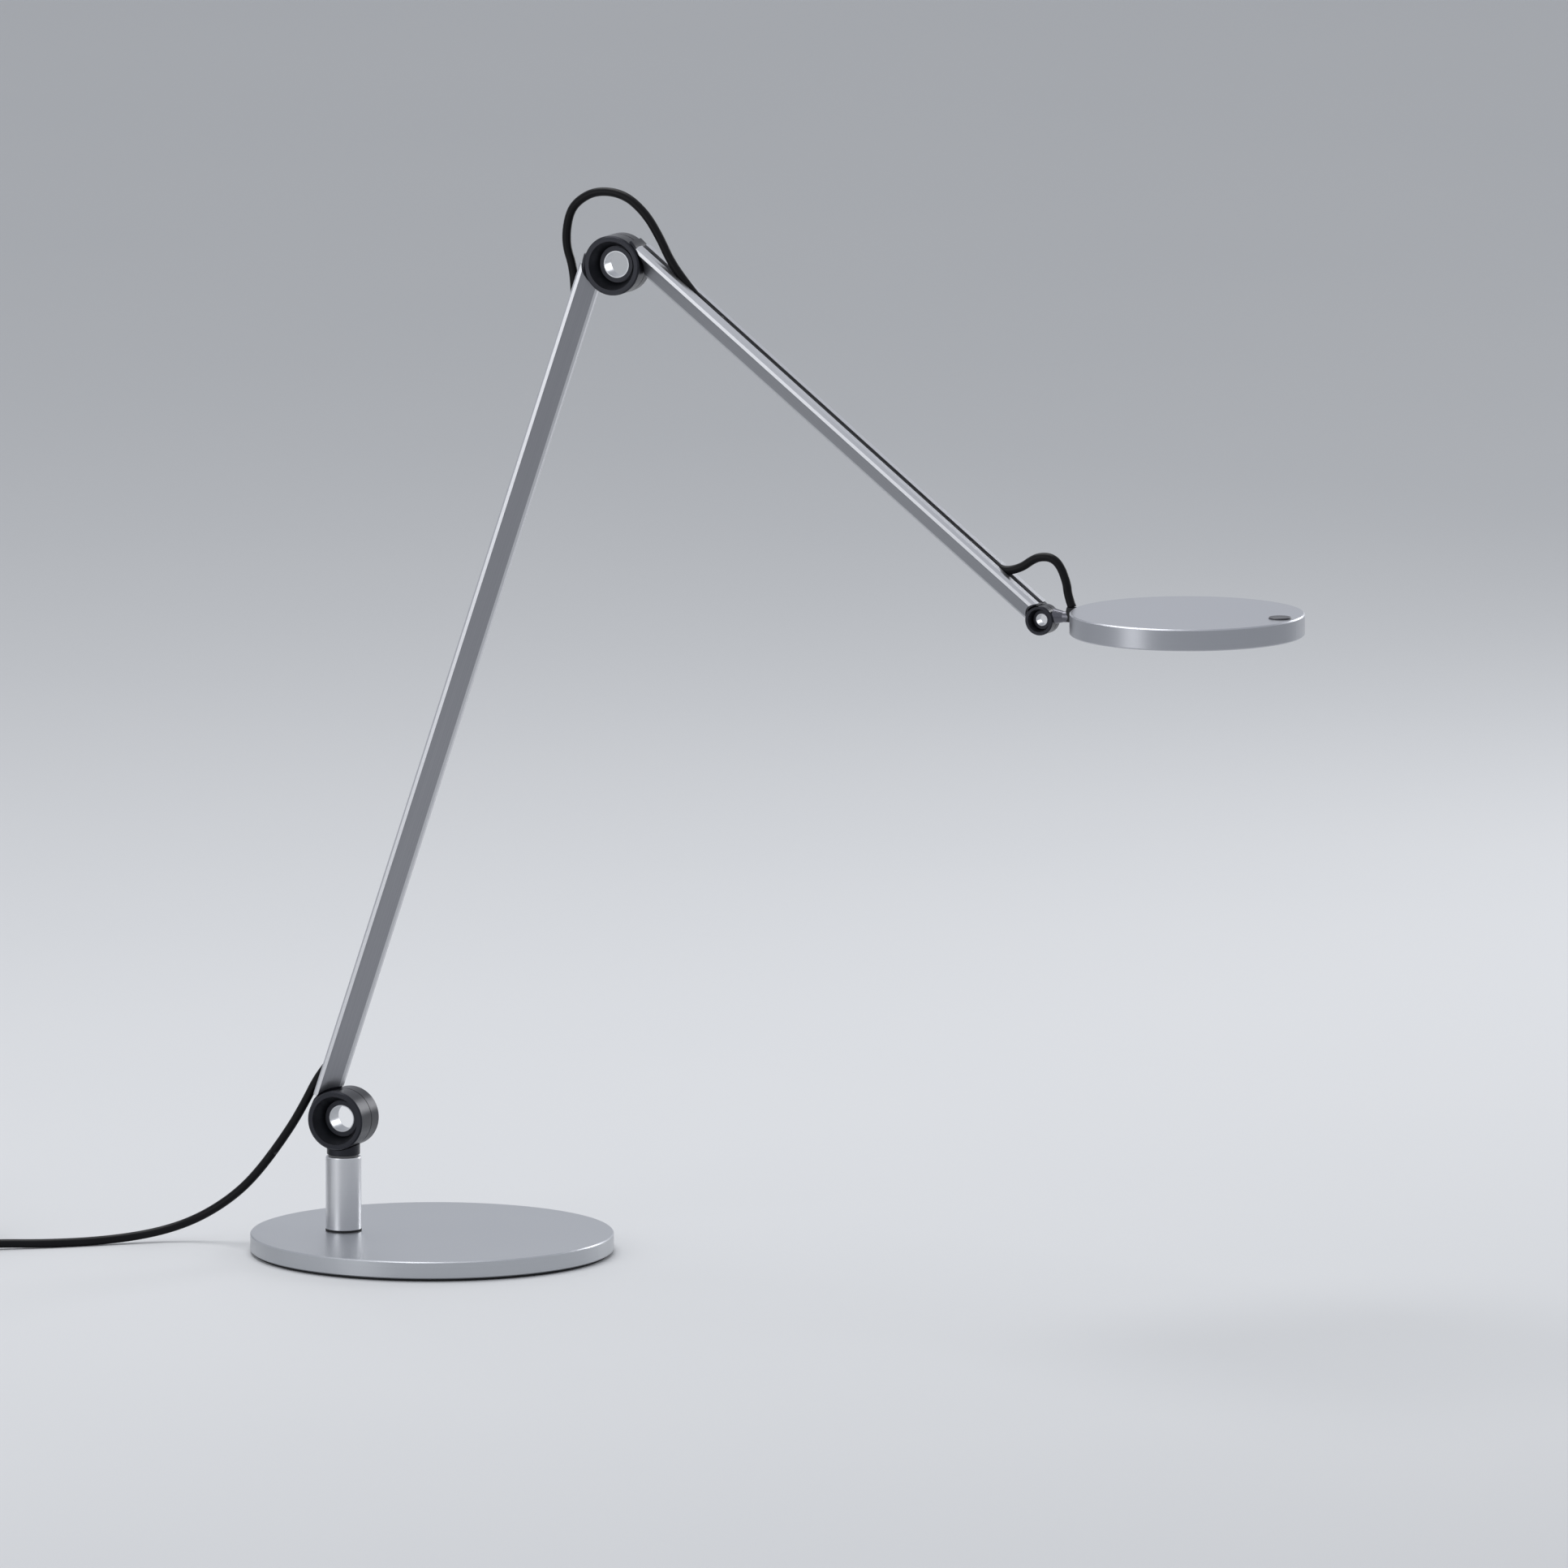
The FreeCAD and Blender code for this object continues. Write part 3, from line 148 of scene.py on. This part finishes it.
world = bpy.data.worlds.new("soft_room")
bpy.context.scene.world = world
world.use_nodes = True
room = Sheet(world.node_tree)
by_camera, by_gloss, through = (
    room.node("LightPath", output=ray)
    for ray in ("Is Camera Ray", "Is Glossy Ray", "Is Transmission Ray"))
shown = through.math("MAXIMUM", by_camera.math("MAXIMUM", by_camera, by_gloss), through)
room_light = room.node("Background", values={"Color": (0.93, 0.96, 1.0, 1),
                                             "Strength": 0.58})
room_seen = room.node("Background", values={"Color": (0.63, 0.65, 0.70, 1),
                                            "Strength": 1.0})
room.feed(room.tree.nodes["World Output"].inputs["Surface"],
          room.node("MixShader", values={0: shown, 1: room_light, 2: room_seen}))

aim = Vector((0.22215, 0.09655, 0.25911))
for lamp_name, spot, width, height, power in (
        ("overhead_box", (-0.3, 0.4, 2.4), 1.6, 1.6, 32.0),
        ("front_left_strip", (-0.75, -2.0, 0.85), 0.9, 1.9, 8.5),
        ("back_right_box", (0.98, 2.2, 0.85), 0.7, 1.0, 12.0)):
    light = bpy.data.lights.new(lamp_name, "AREA")
    light.shape = "RECTANGLE"
    light.size = width
    light.size_y = height
    light.energy = power
    holder = bpy.data.objects.new(lamp_name, light)
    holder.location = spot
    holder.visible_camera = False
    holder.rotation_euler = (aim - Vector(spot)).to_track_quat("-Z", "Y").to_euler()
    bpy.context.scene.collection.objects.link(holder)

lens = bpy.data.cameras.new("long_lens")
lens.sensor_width = 36
lens.lens = 627.6
lens.clip_end = 60
camera = bpy.data.objects.new("long_lens", lens)
look_down = math.radians(8.6)
look_round = math.radians(23.5)
camera_far = 15
towards = Vector((math.cos(look_down) * math.sin(look_round),
                  -math.cos(look_down) * math.cos(look_round), math.sin(look_down)))
camera.location = aim + camera_far * towards
camera.rotation_euler = (aim - camera.location).to_track_quat("-Z", "Y").to_euler()
bpy.context.scene.collection.objects.link(camera)
bpy.context.scene.camera = camera
bpy.context.scene.view_settings.view_transform = "Standard"

# ------------------------------------------------------------ base disc and its pad
# A heavy turned disc, satin silver, with a small chamfer round each edge. It stands on a
# thin rubber pad that is glued underneath and stays a little inside the rim. One screw
# from below holds the column.

base_centre = (0.0472, 0.0136)


def dress(finish, *names):
    """Gives CAD pieces their material."""
    for name in names:
        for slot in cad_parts[name].material_slots:
            slot.material = finish.material


def turned_metal(name, centre, dark, light, roughness, rings):
    """Metal with the fine rings that turning leaves round an upright axis."""
    finish = Finish(name, Metallic=1.0)
    x, y, z = finish.place()
    radius = ((x - centre[0]) ** 2 + (y - centre[1]) ** 2) ** 0.5
    groove = finish.noise(radius * rings, z * 900, 0, detail=3)
    cloud = finish.noise(x, y, z, 11, 2)
    grain = finish.noise(x, y, z, 6000, 1)
    finish.vary(Base_Color=finish.tint(cloud * 0.6 + groove * 0.4, dark, light),
                Roughness=roughness - 0.04 + groove * 0.05 + cloud * 0.03,
                Normal=finish.bump(groove * 0.4 + grain * 0.6, 0.000006))
    return finish


brushed_silver = turned_metal("brushed_silver", base_centre, (0.44, 0.455, 0.48, 1),
                              (0.49, 0.505, 0.525, 1), 0.30, 5200)
dress(brushed_silver, "base_disc")

black_rubber = Finish("black_rubber", Specular_IOR_Level=0.3)
rx, ry, rz = black_rubber.place()
rubber_grain = black_rubber.noise(rx, ry, rz, 2500, 3)
rubber_cloud = black_rubber.noise(rx, ry, rz, 60, 2)
black_rubber.vary(Base_Color=black_rubber.tint(rubber_cloud, (0.012, 0.012, 0.013, 1),
                                               (0.028, 0.028, 0.030, 1)),
                  Roughness=0.62 + rubber_grain * 0.2,
                  Normal=black_rubber.bump(rubber_grain, 0.00006))
dress(black_rubber, "base_pad")

plain_steel = Finish("plain_steel", Metallic=1.0)
sx, sy, sz = plain_steel.place()
steel_cloud = plain_steel.noise(sx, sy, sz, 300, 3)
steel_grain = plain_steel.noise(sx, sy, sz * 6, 2200, 1)
plain_steel.vary(Base_Color=plain_steel.tint(steel_cloud, (0.42, 0.42, 0.43, 1),
                                             (0.56, 0.56, 0.56, 1)),
                 Roughness=0.24 + steel_cloud * 0.18,
                 Normal=plain_steel.bump(steel_grain, 0.00001))
dress(plain_steel, "base_screw")

# ------------------------------------------------------------ column
# A short turned tube, anodised satin silver, with a rounded top edge. A thin dark gasket
# keeps it off the disc.

column_silver = turned_metal("column_silver", (0, 0), (0.58, 0.59, 0.61, 1),
                             (0.65, 0.655, 0.67, 1), 0.36, 4200)
dress(column_silver, "column_tube")
dress(black_rubber, "column_gasket")

# ------------------------------------------------------------ swivel
# The neck is a black coated casting: a post that turns in a plastic bush in the column,
# with the rear half of the shoulder ring on top. A washer and a screw below keep it in.


def coated_metal(name, dark, light, roughness, metallic):
    """A fine satin coating, with the slight orange peel of baked powder."""
    finish = Finish(name, Metallic=metallic, Specular_IOR_Level=0.35)
    x, y, z = finish.place()
    peel = finish.noise(x, y, z, 1500, 2)
    grain = finish.noise(x, y, z, 7000, 1)
    cloud = finish.noise(x, y, z, 40, 2)
    finish.vary(Base_Color=finish.tint(cloud * 0.6 + peel * 0.4, dark, light),
                Roughness=roughness - 0.05 + peel * 0.06 + cloud * 0.04,
                Normal=finish.bump(peel * 0.5 + grain * 0.5, 0.00003))
    return finish


graphite = coated_metal("graphite_black", (0.020, 0.021, 0.026, 1),
                        (0.030, 0.031, 0.038, 1), 0.32, 0.7)
dress(graphite, "swivel_neck")

bearing_plastic = Finish("bearing_plastic")
px, py, pz = bearing_plastic.place()
bearing_cloud = bearing_plastic.noise(px, py, pz, 90, 3)
bearing_plastic.vary(Base_Color=bearing_plastic.tint(bearing_cloud, (0.10, 0.10, 0.105, 1),
                                                     (0.15, 0.15, 0.155, 1)),
                     Roughness=0.4 + bearing_cloud * 0.12)
dress(bearing_plastic, "swivel_bush")
dress(plain_steel, "swivel_washer", "swivel_screw")

# ------------------------------------------------------------ ring joints
# Each joint is two coated ring halves on a hollow steel axle, pressed together by a wave
# spring and a slotted nut at the back. The axle is lined with a satin sleeve, so that
# light shows through its eye. The halves end in saddles that run into the arms.

dress(graphite, "lower_arm_foot", "lower_arm_top", "upper_arm_foot", "upper_arm_tip",
      "head_joint_ring")

bright_steel = Finish("bright_steel", Metallic=1.0)
bx, by, bz = bright_steel.place()
drawn = bright_steel.noise(bx, by * 900, bz, 60, 3)
bright_steel.vary(Base_Color=bright_steel.tint(drawn, (0.72, 0.73, 0.75, 1),
                                               (0.82, 0.82, 0.84, 1)),
                  Roughness=0.12 + drawn * 0.1,
                  Normal=bright_steel.bump(drawn, 0.000008))
satin_sleeve = Finish("satin_sleeve", Metallic=1.0)
lx, ly, lz = satin_sleeve.place()
honed = satin_sleeve.noise(lx * 40, ly * 1600, lz * 40, detail=3)
satin_sleeve.vary(Base_Color=satin_sleeve.tint(honed, (0.40, 0.41, 0.43, 1),
                                               (0.50, 0.51, 0.53, 1)),
                  Roughness=0.30 + honed * 0.1,
                  Normal=satin_sleeve.bump(honed, 0.000005))
for joint in ("shoulder", "elbow", "tilt"):
    dress(satin_sleeve, joint + "_liner")
    dress(graphite, joint + "_axle")
    dress(black_rubber, joint + "_friction_washer")
    dress(plain_steel, joint + "_wave_spring", joint + "_ring_nut")

# ------------------------------------------------------------ arms
# Both arms are one aluminium extrusion, a keel with two ridges and a slot for the cable,
# satin anodised. Fine lines from the die run along it. Two grub screws under the cable
# lock it to the tongues of its saddles.

# Middle and half width of the band of painted shade along each flank, outwards from a
# joint's axis.
shaded_band_middle = 0.0112
shaded_band_half = 0.0041
fine_lines = 1400


def extruded_metal(name, axis, lean, dark, light, roughness):
    """Anodised metal with die lines, and painted shade that darkens its flanks against its
    ridges and keel.
    """
    finish = Finish(name, Metallic=1.0)
    x, y, z = finish.place()
    turn = math.radians(lean)
    along = x * math.cos(turn) + z * math.sin(turn)
    out = (z - axis.z) * math.cos(turn) - (x - axis.x) * math.sin(turn)
    lines = finish.noise(along * 3, y * fine_lines, out * fine_lines, detail=3)
    cloud = finish.noise(x, y, z, 9, 3)
    grain = finish.noise(x, y, z, 5000, 1)
    # Painted shade: the flank band takes the dark colour, broken a little by die lines and
    # cloud.
    painted_flank_shade = abs(out - shaded_band_middle) < shaded_band_half
    finish.vary(Base_Color=finish.tint(1 - painted_flank_shade * (0.9 - lines * 0.2 - cloud * 0.1),
                                       dark, light),
                Roughness=roughness - 0.06 + lines * 0.06 + cloud * 0.04,
                Normal=finish.bump(lines * 0.5 + grain * 0.5, 0.000012))
    return finish


shoulder_axis = Vector((0, 0, 0.0735))
elbow_axis = Vector((0.165237, 0, 0.555567))
lower_lean = 71.08
upper_lean = -37.9
# The first colour is the painted shade on the flanks, the second the lit silver of ridges
# and keel.
lower_silver = extruded_metal("lower_arm_silver", shoulder_axis, lower_lean,
                              (0.215, 0.218, 0.238, 1), (0.57, 0.575, 0.595, 1), 0.34)
upper_silver = extruded_metal("upper_arm_silver", elbow_axis, upper_lean,
                              (0.215, 0.220, 0.238, 1), (0.57, 0.575, 0.595, 1), 0.34)
dress(lower_silver, "lower_arm")
dress(upper_silver, "upper_arm")
dress(plain_steel, "lower_arm_screws", "upper_arm_screws")

# ------------------------------------------------------------ head
# A flat round shell, turned from aluminium and anodised, on a short dark chromed bar that
# is clamped in a block inside the rim. The cable goes into the bar through a rubber sleeve.

head_centre = (0.50189, 0)
head_silver = turned_metal("head_silver", head_centre, (0.42, 0.43, 0.46, 1),
                           (0.47, 0.48, 0.505, 1), 0.33, 4200)
dress(head_silver, "head_shell")
dark_chrome = Finish("dark_chrome", Metallic=1.0)
nx, ny, nz = dark_chrome.place()
chrome_cloud = dark_chrome.noise(nx * 900, ny, nz, 8, 2)
dark_chrome.vary(Base_Color=dark_chrome.tint(chrome_cloud, (0.10, 0.10, 0.115, 1),
                                             (0.16, 0.16, 0.18, 1)),
                 Roughness=0.20 + chrome_cloud * 0.08)
dress(dark_chrome, "neck_bar")
dress(plain_steel, "neck_anchor")
dress(black_rubber, "cable_entry")

# ------------------------------------------------------------ light
# White board with rings of small yellow chips under the ceiling of the head, behind an
# opal disc that spreads their light.

board_white = Finish("board_white", Roughness=0.3)
wx, wy, wz = board_white.place()
board_cloud = board_white.noise(wx, wy, wz, 120, 3)
board_white.vary(Base_Color=board_white.tint(board_cloud, (0.80, 0.81, 0.79, 1),
                                             (0.87, 0.88, 0.86, 1)))
dress(board_white, "led_board")

phosphor = Finish("led_phosphor", Roughness=0.35)
hx, hy, hz = phosphor.place()
phosphor_cloud = phosphor.noise(hx, hy, hz, 900, 3)
phosphor.vary(Base_Color=phosphor.tint(phosphor_cloud, (0.80, 0.62, 0.16, 1),
                                       (0.90, 0.76, 0.30, 1)))
dress(phosphor, "leds")

opal = Finish("opal_plastic", Emission_Strength=0.35)
ox, oy, oz = opal.place()
opal_grain = opal.noise(ox, oy, oz, 1800, 2)
opal_far = ((ox - head_centre[0]) ** 2 + oy ** 2) ** 0.5
opal_glow = 1.06 - opal_far * 4.5
opal.vary(Base_Color=opal.tint(opal_grain, (0.86, 0.86, 0.84, 1),
                               (0.92, 0.92, 0.90, 1)),
          Roughness=0.42 + opal_grain * 0.12,
          Emission_Color=opal.tint(opal_glow, (0.62, 0.60, 0.55, 1),
                                   (1.0, 0.96, 0.88, 1)),
          Normal=opal.bump(opal_grain, 0.00003))
dress(opal, "diffuser")

# ------------------------------------------------------------ button
# A round dark touch button that stands just above the head, near the rim across from the
# neck. Under it a small switch sits on a bent steel bracket.

button_black = Finish("button_black")
tx, ty, tz = button_black.place()
button_grain = button_black.noise(tx, ty, tz, 3000, 2)
button_worn = button_black.noise(tx, ty, tz, 260, 3)
button_black.vary(Base_Color=button_black.tint(button_worn, (0.040, 0.040, 0.048, 1),
                                               (0.060, 0.060, 0.070, 1)),
                  Roughness=0.34 + button_worn * 0.16,
                  Normal=button_black.bump(button_grain, 0.00002))
dress(button_black, "button")
dress(plain_steel, "switch_bracket")

moulded_black = Finish("moulded_black")
mx, my, mz = moulded_black.place()
spark = moulded_black.noise(mx, my, mz, 2400, 3)
moulded_cloud = moulded_black.noise(mx, my, mz, 35, 2)
moulded_black.vary(Base_Color=moulded_black.tint(moulded_cloud, (0.022, 0.022, 0.024, 1),
                                                 (0.036, 0.036, 0.038, 1)),
                   Roughness=0.46 + spark * 0.18,
                   Normal=moulded_black.bump(spark, 0.00008))
dress(moulded_black, "button_switch")

# ------------------------------------------------------------ cable on the arms
# Round black cable in a smooth sheath. It lies in the slot of each arm, goes over the
# elbow in one tall loop, and over the head's joint in a small arch down into the bar.

cable_diameter = 0.0048
cable_black = Finish("cable_black", Specular_IOR_Level=0.12)
kx, ky, kz = cable_black.place()
sheath_cloud = cable_black.noise(kx, ky, kz, 45, 3)
sheath_grain = cable_black.noise(kx, ky, kz, 2600, 2)
cable_black.vary(Base_Color=cable_black.tint(sheath_cloud, (0.004, 0.004, 0.005, 1),
                                             (0.009, 0.009, 0.010, 1)),
                 Roughness=0.26 + sheath_cloud * 0.10 + sheath_grain * 0.06,
                 Normal=cable_black.bump(sheath_grain, 0.00002))
dress(cable_black, "lower_arm_cable", "upper_arm_cable")

slot_out = 0.01575
head_axis = Vector((0.416992, 0, 0.374472))
line_steps = 10


def in_slot(axis, lean, along):
    """The middle of the cable in an arm's slot, so many millimetres along the arm."""
    turn = math.radians(lean)
    ahead = Vector((math.cos(turn), 0, math.sin(turn)))
    out = Vector((-math.sin(turn), 0, math.cos(turn)))
    return axis + ahead * along / 1000 + out * slot_out


def beside(axis, *places):
    """Spots in the arms' plane, in millimetres from a joint's axis."""
    return [axis + Vector((x / 1000, 0, z / 1000)) for x, z in places]


def smooth_line(name, route, steps):
    """Spots along one smooth curve whose control points are a cord's route."""
    data = bpy.data.curves.new(name + "_route", "CURVE")
    data.dimensions = "3D"
    data.resolution_u = steps
    run = data.splines.new("NURBS")
    run.points.add(len(route) - 1)
    for control, spot in zip(run.points, route):
        control.co = (*spot, 1)
    run.order_u = 3
    run.use_endpoint_u = True
    holder = bpy.data.objects.new(name + "_route", data)
    line = bpy.data.meshes.new_from_object(holder)
    spots = [vertex.co.copy() for vertex in line.vertices]
    bpy.data.objects.remove(holder)
    bpy.data.meshes.remove(line)
    bpy.data.curves.remove(data)
    return spots


def cable(name, spots, sides=18):
    """A round sheath along a line of spots, closed at both ends."""
    shape = bmesh.new()
    side = Vector((0, 1, 0))
    rings = []
    for i, spot in enumerate(spots):
        ahead = (spots[min(i + 1, len(spots) - 1)] - spots[max(i - 1, 0)]).normalized()
        side = (side - ahead * side.dot(ahead)).normalized()
        across = ahead.cross(side)
        ring = []
        for k in range(sides):
            turn = 2 * math.pi * k / sides
            away = side * math.cos(turn) + across * math.sin(turn)
            ring.append(shape.verts.new(spot + away * (cable_diameter / 2)))
        rings.append(ring)
    for ring, following in zip(rings, rings[1:]):
        for k in range(sides):
            shape.faces.new((ring[k], ring[(k + 1) % sides], following[(k + 1) % sides],
                             following[k])).smooth = True
    shape.faces.new(list(reversed(rings[0])))
    shape.faces.new(rings[-1])
    mesh = bpy.data.meshes.new(name)
    shape.to_mesh(mesh)
    shape.free()
    piece = bpy.data.objects.new(name, mesh)
    bpy.context.scene.collection.objects.link(piece)
    mesh.materials.append(cable_black.material)
    return piece


def held_cable(name, line, node):
    """Cable held at both ends over the joint it crosses, in place of a hidden CAD piece."""
    piece = cable(name, line)
    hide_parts(node)
    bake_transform(piece)


loop_line = smooth_line("elbow_cable", [
    in_slot(shoulder_axis, lower_lean, 463.6), in_slot(shoulder_axis, lower_lean, 478)]
    + beside(elbow_axis, (-26.0, -4.0), (-31.0, 9.8), (-29.2, 25.2), (-24.0, 33.4),
             (-12.4, 39.8), (3.9, 38.7), (16.6, 28.9), (25.2, 16.0), (31.9, 2.6),
             (41.0, -8.8))
    + [in_slot(elbow_axis, upper_lean, 52), in_slot(elbow_axis, upper_lean, 66)],
    line_steps)
held_cable("elbow_cable", loop_line, "elbow_loop")

arch_line = smooth_line("head_cable", [
    in_slot(elbow_axis, upper_lean, 251.9), in_slot(elbow_axis, upper_lean, 259.9)]
    + beside(head_axis, (-26.7, 26.5), (-20.0, 25.4), (-11.9, 28.0), (-6.5, 32.0),
             (-1.6, 34.2), (5.0, 34.3), (10.3, 30.3), (14.2, 20.9), (14.8, 14.5),
             (17.4, 7.6)), line_steps)
held_cable("head_cable", arch_line, "head_arch")

# ------------------------------------------------------------ lead
# The same cable leaves the foot of the lower arm, hangs back from it to the table and
# runs off to the left. The rest is wound into a round coil in four layers under a strap,
# and its end goes on to the plug-in supply.

riser_line = smooth_line("lead_rise", [
    in_slot(shoulder_axis, lower_lean, 46), in_slot(shoulder_axis, lower_lean, 31)]
    + beside(shoulder_axis, (-15.4, 21.8), (-22.8, 7.7), (-32.8, -8.9), (-42.65, -21.95)),
    line_steps)
held_cable("lead_rise", riser_line, "lead_riser")

lead_route = [Vector(spot) / 1000 for spot in (
    (-42.65, 0, 51.55), (-52.5, 0, 38.5), (-68.4, -1.6, 23.6), (-87.7, -6, 11.4),
    (-106.2, -18, 4.9), (-127.6, -38.6, 2.4), (-152.5, -60, 2.4), (-176.6, -75.6, 3.4),
    (-197.6, -94.2, 3.4))]
coil_radius = 0.0315
coil_pitch = 0.0054
coil_turns = 9.304
coil_layers = 4
turn_points = 16
coil_line_steps = 6
coil_sides = 14
heading = (lead_route[-1] - lead_route[-2]).normalized()
inward = Vector((heading.y, -heading.x, 0))
coil_middle = lead_route[-1] + heading * cable_diameter + inward * coil_radius
first_angle = math.atan2(-inward.y, -inward.x)
layer_turn = 2 * math.pi * coil_turns / coil_layers


def coil_spot(turned, reach=1.0):
    """The middle of the cable in the coil after so much turning."""
    fold = abs((turned / layer_turn + 1) % 2 - 1)
    radius = (coil_radius - coil_pitch * layer_turn * fold / (2 * math.pi)) * reach
    height = 0
    for border in range(1, coil_layers):
        share = min(max((turned - border * layer_turn) / math.pi + 0.5, 0), 1)
        height += coil_pitch * share * share * (3 - 2 * share)
    angle = first_angle - turned
    return coil_middle + Vector((radius * math.cos(angle), radius * math.sin(angle),
                                 height))


coil_end = layer_turn * coil_layers
coil_steps = round(coil_turns * turn_points)
coil_reach = 1 / math.cos(math.pi / turn_points)
coil_route = [coil_spot(coil_end * (k + 0.5) / coil_steps, coil_reach)
              for k in range(coil_steps)]
last_angle = first_angle - coil_end
leaving = Vector((math.sin(last_angle), -math.cos(last_angle), 0))
coil_exit = coil_spot(coil_end) + leaving * cable_diameter
tail_route = [coil_exit + leaving * along / 1000 + Vector((0, 0, drop / 1000))
              for along, drop in ((0, 0), (12, 0), (25, -2.6), (37, -4.2), (49, -4.2))]
lead_line = smooth_line("lead_coil", lead_route + coil_route + tail_route,
                        coil_line_steps)
lead = cable("lead_wound", lead_line, coil_sides)
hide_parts("lead", "lead_coil", "lead_tail")
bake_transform(lead)

strap_black = Finish("strap_black", Roughness=0.85)
vx, vy, vz = strap_black.place()
weave = strap_black.noise(vx, vy, vz, 2800, 2)
strap_black.vary(Base_Color=strap_black.tint(weave, (0.010, 0.010, 0.011, 1),
                                             (0.034, 0.034, 0.036, 1)),
                 Normal=strap_black.bump(weave, 0.0002))
dress(strap_black, "lead_tie")

# ------------------------------------------------------------ power supply
# A small moulded plug-in supply with a tapered rubber strain relief for the lead and two
# nickelled pins.

dress(moulded_black, "power_supply")
dress(black_rubber, "strain_relief")
dress(bright_steel, "plug_pins")
